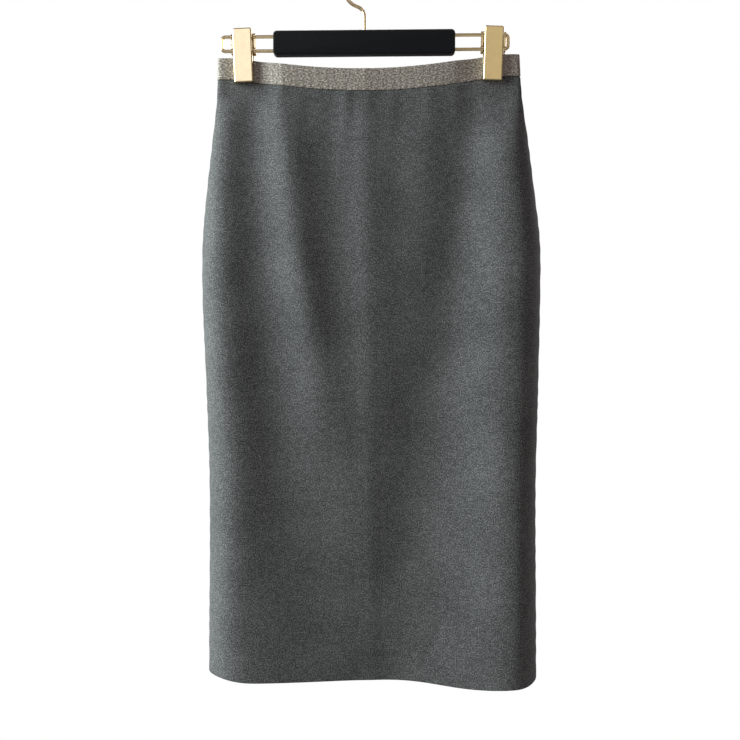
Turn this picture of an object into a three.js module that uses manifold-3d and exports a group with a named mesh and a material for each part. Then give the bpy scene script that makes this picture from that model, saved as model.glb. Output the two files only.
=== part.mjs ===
// A pencil skirt with an elastic waistband, hanging from the two clips of a bar hanger.
// Millimetres, +Z up, the front faces -Y. The origin is the inside of the hook's crown,
// where the hanger rests on whatever carries it.
import * as THREE from 'three';
import { mergeVertices } from 'three/addons/utils/BufferGeometryUtils.js';
import Module from 'manifold-3d';

const wasm = await Module();
wasm.setup();

// Gaps and cloth
const seamGap = 0.3;
const clothThickness = 1.5;
const turnedHemThickness = 2.8;
const turnedHemHeight = 32;
const hemZ = -820;
const bandHeight = 25;
const bandThickness = 2.2;
const bandProud = 0.5;
const bandTopZ = -103;

// The waistband hangs lower between the clips than at them
const sagDepth = 16.4;
const sagCentre = 2.5;
const sagReach = 148;
const bandTilt = 0.0054;

// Hanger
const rodRadius = 2;
const upperRodZ = -78.5;
const lowerRodZ = -95.1;
const railHalfLength = 166.5;
const railCornerRadius = 4;
const sleeve = { length: 211.6, height: 28.8, depth: 14, middleX: -0.5, middleZ: -87.1, corner: 4.6, edge: 2 };
const hook = { bendRadius: 24, tipAngle: -25, backAngle: 228, stemTopZ: -58 };
const channelGap = 0.3;

// Clips
const clips = [
  { name: 'left', x: -141.2, lean: 2.2 },
  { name: 'right', x: 149.4, lean: -2.2 },
];
const clip = {
  topZ: -70.9, bottomZ: -133.6, width: 22, sheet: 1.2, cornerRadius: 2,
  jawY: 3.4, boxDepth: 7, rodRelief: 5.2,
};
const ear = { height: 7.8, reach: 2.6 };
const pin = { radius: 1.2, z: -86.8 };
const cheek = { x: 11.8, thickness: 2.3, halfHeight: 13, frontY: -4, corner: 2.5, rodHole: 2.8 };
const gripHalfWidth = 13.5;
const gripHalfDepth = 2.6;
const gripFadeInward = 36;
const gripFadeOutward = 30;
const gripFadeDown = 30;

// The plain section of the skirt at a few heights: its middle, half its width, how far the front
// and back stand out, and the power of the curve, which is 2 for an ellipse and more if squarer.
const sections = [
  { z: -101, centre: 3.8, half: 175.3, front: 12, back: 10, power: 2.3 },
  { z: -150, centre: 4.9, half: 177.3, front: 11, back: 11, power: 2.4 },
  { z: -200, centre: 5.7, half: 183.3, front: 26, back: 21, power: 2.4 },
  { z: -260, centre: 6.2, half: 189.9, front: 35, back: 30, power: 2.5 },
  { z: -320, centre: 7.2, half: 195.5, front: 39, back: 36, power: 2.5 },
  { z: -390, centre: 7.4, half: 195.4, front: 42, back: 39, power: 2.6 },
  { z: -480, centre: 8.4, half: 192.0, front: 42, back: 40, power: 2.8 },
  { z: -595, centre: 8.8, half: 188.8, front: 50, back: 40, power: 2.5 },
  { z: -820, centre: 8.8, half: 189.0, front: 42, back: 37, power: 3.1 },
];

// The large soft folds, each on a line from its upper to its lower end. The height is how far
// it stands out of the plain section, below zero for a trough.
const folds = [
  { side: 'front', topX: -133, lowX: -45, topZ: -112, lowZ: -844, width: 41, height: -12 },
  { side: 'front', topX: -99, lowX: -42, topZ: -105, lowZ: -519, width: 22, height: 8 },
  { side: 'front', topX: -178, lowX: -147, topZ: -105, lowZ: -1103, width: 45, height: 15 },
  { side: 'front', topX: -36, lowX: 5, topZ: -130, lowZ: -644, width: 30, height: -7 },
  { side: 'front', topX: 38, lowX: 40, topZ: -107, lowZ: -854, width: 34, height: -6 },
  { side: 'front', topX: 129, lowX: 30, topZ: -106, lowZ: -764, width: 44, height: -13 },
  { side: 'front', topX: 164, lowX: 174, topZ: -144, lowZ: -1202, width: 42, height: 22 },
  { side: 'front', topX: 200, lowX: 186, topZ: -105, lowZ: -1051, width: 23, height: 25 },
  { side: 'front', topX: -17, lowX: 23, topZ: -488, lowZ: -1141, width: 76, height: -14 },
  { side: 'front', topX: 103, lowX: 2, topZ: -493, lowZ: -993, width: 49, height: -11 },
  { side: 'back', topX: 134, lowX: 64, topZ: -110, lowZ: -640, width: 30, height: -10 },
  { side: 'back', topX: -130, lowX: -60, topZ: -110, lowZ: -760, width: 36, height: -11 },
  { side: 'back', topX: -150, lowX: -118, topZ: -300, lowZ: -1200, width: 34, height: 9 },
  { side: 'back', topX: 150, lowX: 120, topZ: -300, lowZ: -1200, width: 34, height: 10 },
  { side: 'back', topX: 30, lowX: -12, topZ: -380, lowZ: -1200, width: 60, height: -9 },
];
const foldBend = 1.5;
const foldRise = 90;
const foldFadeOut = 0.55;
const foldSideFade = 10;

// The hem isn't quite level: at each place along the waist, how far it rises, below zero for a drop
const hemRises = [
  { x: -171, width: 31, height: 5.3 },
  { x: 105, width: 40, height: -4 },
];

// The centre seams: where they cross the waist and the hem, and the low ridge along them
const frontSeam = { waistX: 0, hemX: 8.8 };
const backSeam = { waistX: 4, hemX: 8.8 };
const seamRidge = { width: 8, height: 0.5 };

// Fineness of the cloth
const ringSteps = 320;
const panelColumns = 22;
const bandColumns = 88;
const panelRows = 24;
const rowCrowding = 1.2;
const tangentStep = 2;

const materials = {
  cloth: new THREE.MeshStandardMaterial({ color: 0x5c6160, roughness: 0.95, metalness: 0 }),
  elastic: new THREE.MeshStandardMaterial({ color: 0x8c877c, roughness: 0.6, metalness: 0.3 }),
  gold: new THREE.MeshStandardMaterial({ color: 0xd9be86, roughness: 0.25, metalness: 1 }),
  flock: new THREE.MeshStandardMaterial({ color: 0x1b1b1b, roughness: 1, metalness: 0 }),
};

// Curves and tables

function smoothstep(t) {
  const s = Math.min(Math.max(t, 0), 1);
  return s * s * (3 - 2 * s);
}

function between(a, b, t) {
  return a + (b - a) * t;
}

// Reads one column of the section table at a height, on a smooth curve through its rows.
function columnAt(name, z) {
  const last = sections.length - 1;
  const held = Math.min(Math.max(z, sections[last].z), sections[0].z);
  let row = 0;
  while (row < last - 1 && held < sections[row + 1].z) row += 1;
  const slopeAt = (i) => {
    const [a, b] = [sections[Math.max(i - 1, 0)], sections[Math.min(i + 1, last)]];
    return (b[name] - a[name]) / (b.z - a.z);
  };
  const [a, b] = [sections[row], sections[row + 1]];
  const span = b.z - a.z;
  const t = (held - a.z) / span;
  const [t2, t3] = [t * t, t * t * t];
  return a[name] * (2 * t3 - 3 * t2 + 1) + b[name] * (3 * t2 - 2 * t3)
    + span * (slopeAt(row) * (t3 - 2 * t2 + t) + slopeAt(row + 1) * (t3 - t2));
}

// The form of the skirt

// How far the band hangs below its plain top at a place
function sagAt(x) {
  const t = (x - sagCentre) / sagReach;
  return sagDepth * Math.max(1 - t * t, 0) - bandTilt * x;
}

// How firmly the clips hold the cloth flat at a place: 1 in their jaws, 0 far from them.
function gripAt(x, z) {
  const down = 1 - smoothstep((clip.bottomZ - 2 - z) / gripFadeDown);
  const holds = clips.map(({ x: clipX }) => {
    const away = Math.abs(x - clipX) - gripHalfWidth;
    const outward = (x - clipX) * Math.sign(clipX) > 0;
    return 1 - smoothstep(away / (outward ? gripFadeOutward : gripFadeInward));
  });
  return Math.max(...holds) * down;
}

function foldsAt(side, x, z) {
  let out = 0;
  for (const fold of folds.filter((row) => row.side === side)) {
    const t = (fold.topZ - z) / (fold.topZ - fold.lowZ);
    if (t <= 0 || t >= 1) continue;
    const middle = between(fold.topX, fold.lowX, t ** foldBend);
    const rise = smoothstep((fold.topZ - z) / foldRise);
    const fade = rise * (1 - smoothstep((t - foldFadeOut) / (1 - foldFadeOut)));
    out += fold.height * fade * Math.exp(-(((x - middle) / fold.width) ** 2));
  }
  return out;
}

function hemAt(x) {
  return hemRises.reduce((z, rise) => z + rise.height * Math.exp(-(((x - rise.x) / rise.width) ** 2)), hemZ);
}

function seamXAt(seam, z) {
  return between(seam.waistX, seam.hemX, (bandTopZ - z) / (bandTopZ - hemZ));
}

// A point of the cloth's outer face. The turn goes from the left side (0) over the front to the
// right side (1) and over the back to the left side again (2); heightAt gives z from x.
function clothPoint(turn, heightAt) {
  const side = turn < 1 ? 'front' : 'back';
  const across = -Math.cos(turn * Math.PI);
  const z = heightAt(columnAt('centre', bandTopZ) + columnAt('half', bandTopZ) * across);
  const x = columnAt('centre', z) + columnAt('half', z) * across;
  const power = columnAt('power', z);
  const plain = columnAt(side, z) * Math.max(1 - Math.abs(across) ** power, 0) ** (1 / power);
  const grip = gripAt(x, z);
  const seamX = seamXAt(side === 'front' ? frontSeam : backSeam, z);
  const ridge = seamRidge.height * Math.exp(-(((x - seamX) / seamRidge.width) ** 2));
  const free = 1 - Math.abs(across) ** foldSideFade;
  const held = Math.min(gripHalfDepth, plain);
  const loose = Math.max(plain + (foldsAt(side, x, z) + ridge) * free, held);
  const depth = between(loose, held, grip);
  return new THREE.Vector3(x, side === 'front' ? -depth : depth, z);
}

// The whole round of the cloth at one level, with the length along it of each point
function traceRound(heightAt) {
  const points = [];
  const lengths = [0];
  for (let i = 0; i <= ringSteps; i += 1) {
    points.push(clothPoint((2 * i) / ringSteps, heightAt));
    if (i > 0) lengths.push(lengths[i - 1] + points[i].distanceTo(points[i - 1]));
  }
  return { points, lengths, total: lengths[ringSteps] };
}

function pointAlong(round, length) {
  const wanted = ((length % round.total) + round.total) % round.total;
  let i = 1;
  while (i < ringSteps && round.lengths[i] < wanted) i += 1;
  const t = (wanted - round.lengths[i - 1]) / (round.lengths[i] - round.lengths[i - 1]);
  return round.points[i - 1].clone().lerp(round.points[i], t);
}

// A point of the round moved inward, square to the cloth and level
function insetPoint(round, length, inset) {
  const before = pointAlong(round, length - tangentStep);
  const after = pointAlong(round, length + tangentStep);
  const along = after.sub(before).setZ(0).normalize();
  return pointAlong(round, length).add(new THREE.Vector3(-along.y, along.x, 0).multiplyScalar(inset));
}

// The length along the round where the front or back crosses a given x
function lengthAtX(round, side, x) {
  const half = ringSteps / 2;
  const first = side === 'front' ? 0 : half;
  for (let i = first + 1; i <= first + half; i += 1) {
    const [a, b] = [round.points[i - 1], round.points[i]];
    if ((a.x - x) * (b.x - x) <= 0) {
      return between(round.lengths[i - 1], round.lengths[i], (x - a.x) / (b.x - a.x));
    }
  }
  throw new Error(`the ${side} has no point at x ${x}`);
}

// Closed walls from an outer and an inner grid of points

function wallGeometry(outer, inner, closed) {
  const rows = outer.length;
  const columns = outer[0].length;
  const positions = [...outer.flat(), ...inner.flat()].flatMap((p) => [p.x, p.y, p.z]);
  const at = (layer, row, column) => (layer * rows + row) * columns + (column % columns);
  const index = [];
  const quad = (a, b, c, d) => index.push(a, b, c, a, c, d);
  const spans = closed ? columns : columns - 1;
  for (let column = 0; column < spans; column += 1) {
    for (let row = 0; row < rows - 1; row += 1) {
      quad(at(0, row, column), at(0, row + 1, column), at(0, row + 1, column + 1), at(0, row, column + 1));
      quad(at(1, row, column), at(1, row, column + 1), at(1, row + 1, column + 1), at(1, row + 1, column));
    }
    quad(at(0, 0, column), at(0, 0, column + 1), at(1, 0, column + 1), at(1, 0, column));
    const low = rows - 1;
    quad(at(0, low, column), at(1, low, column), at(1, low, column + 1), at(0, low, column + 1));
  }
  if (!closed) {
    const right = columns - 1;
    for (let row = 0; row < rows - 1; row += 1) {
      quad(at(0, row, 0), at(1, row, 0), at(1, row + 1, 0), at(0, row + 1, 0));
      quad(at(0, row, right), at(0, row + 1, right), at(1, row + 1, right), at(1, row, right));
    }
  }
  const geometry = new THREE.BufferGeometry();
  geometry.setAttribute('position', new THREE.Float32BufferAttribute(positions, 3));
  geometry.setIndex(index);
  return geometry;
}

// The levels of a panel, from 0 at the waist seam to 1 at the hem, with a step for the turned hem
function panelLevels() {
  const hemTop = 1 - turnedHemHeight / (bandTopZ - bandHeight - sagDepth / 2 - hemZ);
  const ledge = 0.002;
  const levels = [];
  for (let i = 0; i <= panelRows; i += 1) {
    levels.push({ down: hemTop * (i / panelRows) ** rowCrowding, turned: false });
  }
  levels.push({ down: hemTop + ledge, turned: true }, { down: 1, turned: true });
  return levels;
}

function panelGeometry(startOf, endOf) {
  const outer = [];
  const inner = [];
  for (const { down, turned } of panelLevels()) {
    const waistSeam = (x) => bandTopZ - sagAt(x) - bandHeight - seamGap;
    const round = traceRound((x) => between(waistSeam(x), hemAt(x), down));
    const start = startOf(round) + seamGap / 2;
    const end = endOf(round) - seamGap / 2;
    const lengths = Array.from({ length: panelColumns + 1 }, (_, i) => between(start, end, i / panelColumns));
    const inset = turned ? turnedHemThickness : clothThickness;
    outer.push(lengths.map((length) => insetPoint(round, length, 0)));
    inner.push(lengths.map((length) => insetPoint(round, length, inset)));
  }
  return wallGeometry(outer, inner, false);
}

function bandGeometry() {
  const outer = [];
  const inner = [];
  for (const drop of [0, bandHeight / 2, bandHeight]) {
    const round = traceRound((x) => bandTopZ - sagAt(x) - drop);
    const lengths = Array.from({ length: bandColumns }, (_, i) => (round.total * i) / bandColumns);
    outer.push(lengths.map((length) => insetPoint(round, length, -bandProud)));
    inner.push(lengths.map((length) => insetPoint(round, length, bandThickness - bandProud)));
  }
  return wallGeometry(outer, inner, true);
}

// Joining and cutting closed solids

function toSolid(geometry) {
  const bare = geometry.clone();
  bare.deleteAttribute('normal');
  bare.deleteAttribute('uv');
  const merged = mergeVertices(bare, 1e-4);
  return new wasm.Manifold(new wasm.Mesh({
    numProp: 3,
    vertProperties: new Float32Array(merged.attributes.position.array),
    triVerts: new Uint32Array(merged.index.array),
  }));
}

function toGeometry(solid) {
  const { vertProperties, triVerts } = solid.getMesh();
  const geometry = new THREE.BufferGeometry();
  geometry.setAttribute('position', new THREE.BufferAttribute(vertProperties, 3));
  geometry.setIndex(new THREE.BufferAttribute(triVerts, 1));
  return geometry;
}

function boxSolid(x0, x1, y0, y1, z0, z1) {
  const box = new THREE.BoxGeometry(x1 - x0, y1 - y0, z1 - z0);
  return toSolid(box.translate((x0 + x1) / 2, (y0 + y1) / 2, (z0 + z1) / 2));
}

function rodSolidAlongX(radius, x0, x1, y, z, sides) {
  const rod = new THREE.CylinderGeometry(radius, radius, x1 - x0, sides);
  return toSolid(rod.rotateZ(Math.PI / 2).translate((x0 + x1) / 2, y, z));
}

function roundedRectangle(width, height, radius) {
  const [w, h] = [width / 2, height / 2];
  const shape = new THREE.Shape();
  shape.moveTo(-w + radius, -h);
  shape.lineTo(w - radius, -h);
  shape.absarc(w - radius, -h + radius, radius, -Math.PI / 2, 0);
  shape.lineTo(w, h - radius);
  shape.absarc(w - radius, h - radius, radius, 0, Math.PI / 2);
  shape.lineTo(-w + radius, h);
  shape.absarc(-w + radius, h - radius, radius, Math.PI / 2, Math.PI);
  shape.lineTo(-w, -h + radius);
  shape.absarc(-w + radius, -h + radius, radius, Math.PI, Math.PI * 1.5);
  return shape;
}

// Hanger pieces

// One closed wire: two rods joined at the ends, with rounded corners.
function railGeometry() {
  const middleZ = (upperRodZ + lowerRodZ) / 2;
  const halfHeight = (upperRodZ - lowerRodZ) / 2;
  const cornerSteps = 5;
  const sides = 12;
  const line = [];
  const corners = [[1, -1, 270], [1, 1, 0], [-1, 1, 90], [-1, -1, 180]];
  for (const [signX, signZ, startAngle] of corners) {
    const centreX = signX * (railHalfLength - railCornerRadius);
    const centreZ = middleZ + signZ * (halfHeight - railCornerRadius);
    for (let i = 0; i <= cornerSteps; i += 1) {
      const angle = THREE.MathUtils.degToRad(startAngle + (90 * i) / cornerSteps);
      line.push({
        x: centreX + railCornerRadius * Math.cos(angle),
        z: centreZ + railCornerRadius * Math.sin(angle),
        outX: Math.cos(angle),
        outZ: Math.sin(angle),
      });
    }
  }
  const positions = [];
  const index = [];
  line.forEach(({ x, z, outX, outZ }) => {
    for (let i = 0; i < sides; i += 1) {
      const angle = (i / sides) * Math.PI * 2;
      const out = rodRadius * Math.cos(angle);
      positions.push(x + outX * out, rodRadius * Math.sin(angle), z + outZ * out);
    }
  });
  for (let i = 0; i < line.length; i += 1) {
    const next = (i + 1) % line.length;
    for (let j = 0; j < sides; j += 1) {
      const k = (j + 1) % sides;
      const [a, b, c, d] = [i * sides + j, i * sides + k, next * sides + k, next * sides + j];
      index.push(a, b, c, a, c, d);
    }
  }
  const geometry = new THREE.BufferGeometry();
  geometry.setAttribute('position', new THREE.Float32BufferAttribute(positions, 3));
  geometry.setIndex(index);
  return geometry;
}

// The flocked sleeve over the middle of both rods, with a socket for the hook's stem.
function sleeveGeometry() {
  const { length, height, depth, middleX, middleZ, corner, edge } = sleeve;
  const outline = roundedRectangle(length - 2 * edge, height - 2 * edge, corner - edge);
  const block = new THREE.ExtrudeGeometry(outline, {
    depth: depth - 2 * edge, bevelEnabled: true, bevelThickness: edge, bevelSize: edge,
    bevelSegments: 2, curveSegments: 5,
  });
  block.rotateX(Math.PI / 2).translate(middleX, depth / 2 - edge, middleZ);
  const bore = rodRadius + channelGap;
  const past = length / 2 + 5;
  const socket = new THREE.CylinderGeometry(bore, bore, 20, 20).rotateX(Math.PI / 2);
  return toGeometry(toSolid(block)
    .subtract(rodSolidAlongX(bore, -past, past, 0, upperRodZ, 20))
    .subtract(rodSolidAlongX(bore, -past, past, 0, lowerRodZ, 20))
    .subtract(toSolid(socket.translate(0, 0, upperRodZ + 10))));
}

// The hook: a round bend over the rail, then back to the middle and down onto the upper rod.
function hookGeometry() {
  const bendZ = rodRadius - hook.bendRadius;
  const points = [];
  for (let angle = hook.tipAngle; angle <= hook.backAngle; angle += 11) {
    const turn = THREE.MathUtils.degToRad(angle);
    points.push(new THREE.Vector3(hook.bendRadius * Math.cos(turn), 0, bendZ + hook.bendRadius * Math.sin(turn)));
  }
  points.push(new THREE.Vector3(-4, 0, -48.5), new THREE.Vector3(0, 0, hook.stemTopZ));
  const stemEndZ = upperRodZ + rodRadius + channelGap;
  points.push(new THREE.Vector3(0, 0, between(hook.stemTopZ, stemEndZ, 0.5)), new THREE.Vector3(0, 0, stemEndZ));
  const wire = new THREE.Shape().absarc(0, 0, rodRadius, 0, Math.PI * 2);
  return new THREE.ExtrudeGeometry(wire, {
    steps: 44, bevelEnabled: false, curveSegments: 6, extrudePath: new THREE.CatmullRomCurve3(points),
  });
}

// Clip pieces, made round x = 0 at their own heights

// The front jaw: a shallow box of sheet metal, open to the back, with two ears on the pin.
function frontJawGeometry() {
  const { topZ, bottomZ, width, sheet, cornerRadius, jawY, boxDepth, rodRelief } = clip;
  const half = width / 2;
  const faceY = -(jawY + boxDepth);
  const round = new THREE.Shape();
  round.moveTo(-half, -jawY);
  round.absarc(-half + cornerRadius, faceY + cornerRadius, cornerRadius, Math.PI, Math.PI * 1.5);
  round.absarc(half - cornerRadius, faceY + cornerRadius, cornerRadius, Math.PI * 1.5, Math.PI * 2);
  round.lineTo(half, -jawY);
  const height = topZ - bottomZ;
  const block = new THREE.ExtrudeGeometry(round, { depth: height, bevelEnabled: false, curveSegments: 4 });
  const shell = toSolid(block.translate(0, 0, bottomZ));
  const hollow = boxSolid(-half + sheet, half - sheet, faceY + sheet, 1, bottomZ + sheet, topZ - sheet);
  const relief = boxSolid(-half - 1, half + 1, -rodRelief, 1, lowerRodZ - rodRelief, topZ + 1);
  const ears = [-half, half - sheet].map((x) => boxSolid(
    x, x + sheet, faceY + sheet / 2, ear.reach, pin.z - ear.height / 2, pin.z + ear.height / 2,
  ));
  const hole = rodSolidAlongX(pin.radius + channelGap, -half - 1, half + 1, 0, pin.z, 16);
  return toGeometry(shell.subtract(hollow).subtract(relief).add(ears[0]).add(ears[1]).subtract(hole));
}

// The rear jaw: a plate with two cheeks that slide on both rods and carry the pin.
function rearJawGeometry() {
  const { topZ, bottomZ, width, sheet, jawY } = clip;
  const half = width / 2;
  const cheekEnd = cheek.x + cheek.thickness;
  const backY = jawY + sheet;
  const middleZ = (upperRodZ + lowerRodZ) / 2;
  const depth = backY - cheek.frontY;
  const plate = boxSolid(-half, half, jawY, backY, bottomZ + 1, topZ - 4);
  const shoulder = boxSolid(-cheekEnd, cheekEnd, jawY, backY, middleZ - cheek.halfHeight, middleZ + cheek.halfHeight);
  const outline = roundedRectangle(depth, 2 * cheek.halfHeight, cheek.corner);
  const cheeks = [-cheekEnd, cheek.x].map((x) => {
    const slab = new THREE.ExtrudeGeometry(outline, { depth: cheek.thickness, bevelEnabled: false, curveSegments: 4 });
    slab.rotateX(Math.PI / 2).rotateZ(Math.PI / 2);
    return toSolid(slab.translate(x, (backY + cheek.frontY) / 2, middleZ));
  });
  const past = cheekEnd + 1;
  return toGeometry(plate.add(shoulder).add(cheeks[0]).add(cheeks[1])
    .subtract(rodSolidAlongX(cheek.rodHole, -past, past, 0, upperRodZ, 20))
    .subtract(rodSolidAlongX(cheek.rodHole, -past, past, 0, lowerRodZ, 20))
    .subtract(rodSolidAlongX(pin.radius + channelGap, -past, past, 0, pin.z, 16)));
}

function pinGeometry() {
  const length = 2 * (cheek.x + cheek.thickness);
  return new THREE.CylinderGeometry(pin.radius, pin.radius, length, 16).rotateZ(Math.PI / 2).translate(0, 0, pin.z);
}

// Assembly

const skirt = new THREE.Group();

function addMesh(parent, name, geometry, material) {
  const mesh = new THREE.Mesh(geometry, material);
  mesh.name = name;
  parent.add(mesh);
}

const leftSide = () => 0;
const rightSide = (round) => round.lengths[ringSteps / 2];
const wholeRound = (round) => round.total;
const seamLength = (side, seam) => (round) => {
  const rough = lengthAtX(round, side, seam.waistX);
  return lengthAtX(round, side, seamXAt(seam, pointAlong(round, rough).z));
};
const centreFront = seamLength('front', frontSeam);
const centreBack = seamLength('back', backSeam);

addMesh(skirt, 'front_left', panelGeometry(leftSide, centreFront), materials.cloth);
addMesh(skirt, 'front_right', panelGeometry(centreFront, rightSide), materials.cloth);
addMesh(skirt, 'back_right', panelGeometry(rightSide, centreBack), materials.cloth);
addMesh(skirt, 'back_left', panelGeometry(centreBack, wholeRound), materials.cloth);
addMesh(skirt, 'waistband', bandGeometry(), materials.elastic);
addMesh(skirt, 'rail_loop', railGeometry(), materials.gold);
addMesh(skirt, 'bar_sleeve', sleeveGeometry(), materials.flock);
addMesh(skirt, 'hook', hookGeometry(), materials.gold);

// Each clip leans a little about the middle of the two rods.
for (const { name, x, lean } of clips) {
  const hung = new THREE.Group();
  const middleZ = (upperRodZ + lowerRodZ) / 2;
  hung.position.set(x, 0, middleZ);
  hung.rotation.y = THREE.MathUtils.degToRad(-lean);
  const level = new THREE.Group();
  level.position.z = -middleZ;
  hung.add(level);
  addMesh(level, `clip_${name}_front`, frontJawGeometry(), materials.gold);
  addMesh(level, `clip_${name}_rear`, rearJawGeometry(), materials.gold);
  addMesh(level, `clip_${name}_pin`, pinGeometry(), materials.gold);
  skirt.add(hung);
}

export default skirt;
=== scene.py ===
import math
import random

import bpy
import numpy as np
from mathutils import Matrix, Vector, noise


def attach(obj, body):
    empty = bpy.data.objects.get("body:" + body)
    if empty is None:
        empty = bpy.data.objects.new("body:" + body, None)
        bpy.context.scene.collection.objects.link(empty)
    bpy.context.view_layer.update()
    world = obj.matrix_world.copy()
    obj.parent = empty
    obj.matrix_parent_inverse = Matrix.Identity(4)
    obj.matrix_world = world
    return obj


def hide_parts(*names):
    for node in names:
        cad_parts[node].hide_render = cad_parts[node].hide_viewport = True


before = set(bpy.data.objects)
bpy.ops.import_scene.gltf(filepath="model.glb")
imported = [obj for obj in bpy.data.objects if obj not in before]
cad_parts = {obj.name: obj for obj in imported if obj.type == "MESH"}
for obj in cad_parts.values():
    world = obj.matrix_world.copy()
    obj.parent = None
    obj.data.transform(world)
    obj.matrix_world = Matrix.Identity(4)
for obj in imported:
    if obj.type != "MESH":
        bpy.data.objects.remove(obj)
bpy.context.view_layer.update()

mm = 0.001  # the object's sizes are in millimetres, the camera's and the studio's in metres


# Small helpers

def table(columns, *rows):
    return [dict(zip(columns.split(), row)) for row in rows]


def smooth(t):
    t = np.clip(t, 0, 1)
    return t * t * (3 - 2 * t)


def bell(t):
    # 1 at the middle, fading softly to both sides
    return np.exp(-(t ** 2))


def linear(hexText):
    # an sRGB hex colour as Blender's linear one
    parts = [int(hexText[i:i + 2], 16) / 255 for i in (1, 3, 5)]
    return [c / 12.92 if c <= 0.04045 else ((c + 0.055) / 1.055) ** 2.4 for c in parts] + [1.0]


def deselectAll():
    if bpy.context.mode != "OBJECT":
        bpy.ops.object.mode_set(mode="OBJECT")
    bpy.ops.object.select_all(action="DESELECT")


def makeActive(obj):
    deselectAll()
    obj.select_set(True)
    bpy.context.view_layer.objects.active = obj


def smoothByAngle(obj, degrees=35):
    makeActive(obj)
    bpy.ops.object.shade_smooth_by_angle(angle=math.radians(degrees))


# Camera: level, at the height of the skirt's middle, a little round to the right

camera = {
    "lens": 46.02, "sensor": 36.0,
    "distance": 1.1, "turn": 1.5, "aimX": 0.0064, "height": -0.467,
}


def addCamera(c):
    data = bpy.data.cameras.new("camera")
    data.lens, data.sensor_width = c["lens"], c["sensor"]
    obj = bpy.data.objects.new("camera", data)
    bpy.context.collection.objects.link(obj)
    turn = math.radians(c["turn"])
    x, y = c["aimX"] + c["distance"] * math.sin(turn), -c["distance"] * math.cos(turn)
    obj.location = (x, y, c["height"])
    obj.rotation_euler = (math.pi / 2, 0, turn)
    bpy.context.scene.camera = obj


addCamera(camera)
print("camera placed")


# Materials

def addNode(tree, kind, settings=None, inputs=None):
    node = tree.nodes.new(kind)
    for key, value in (settings or {}).items():
        setattr(node, key, value)
    for key, value in (inputs or {}).items():
        if isinstance(value, bpy.types.NodeSocket):
            tree.links.new(value, node.inputs[key])
        else:
            node.inputs[key].default_value = value
    return node


def newMaterial(name):
    material = bpy.data.materials.new(name)
    material.use_nodes = True
    tree = material.node_tree
    tree.nodes.clear()
    return material, tree


def finishMaterial(tree, inputs):
    shader = addNode(tree, "ShaderNodeBsdfPrincipled", inputs=inputs)
    addNode(tree, "ShaderNodeOutputMaterial", inputs={"Surface": shader.outputs["BSDF"]})


def noiseScale(size):
    # the scale of a noise texture whose blotches are about so many millimetres wide
    return 1 / (size * mm)


def waveScale(spacing):
    # the scale of a wave texture with one band in so many millimetres
    return math.pi / 10 / (spacing * mm)


def addRamp(tree, factor, stops):
    ramp = addNode(tree, "ShaderNodeValToRGB", inputs={"Fac": factor})
    elements = ramp.color_ramp.elements
    for i, (place, colour) in enumerate(stops):
        element = elements[i] if i < 2 else elements.new(place)
        element.position = place
        element.color = linear(colour)
    return ramp.outputs["Color"]


# Worsted wool twill, dyed in the fibre: dark and light hairs are spun together, so the grey is
# made of fine flecks, and the matt face has a short bloom of fibre ends.
woolTwill = {
    "dark": "#363636", "middle": "#525252", "light": "#7b7b7b",
    "darkAt": 0.52, "middleAt": 0.66, "lightAt": 0.8,
    "fleckSize": 1.35, "fleckStretch": 1.15,
    "slubSize": 6.0, "slubShare": 0.2,  # the thicker stretches of the yarn
    "shadeSize": 55.0, "shadeShare": 0.12,  # slow changes of shade over the cloth
    "twillSpacing": 1.6,  # really 0.6 mm, drawn as coarse as it needs to show
    "twillSlope": -27, "twillShare": 0.5,
    "roughness": 0.92, "sheen": 0.07, "sheenRoughness": 0.5, "bump": 0.35, "bumpDepth": 0.12,
}


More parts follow.
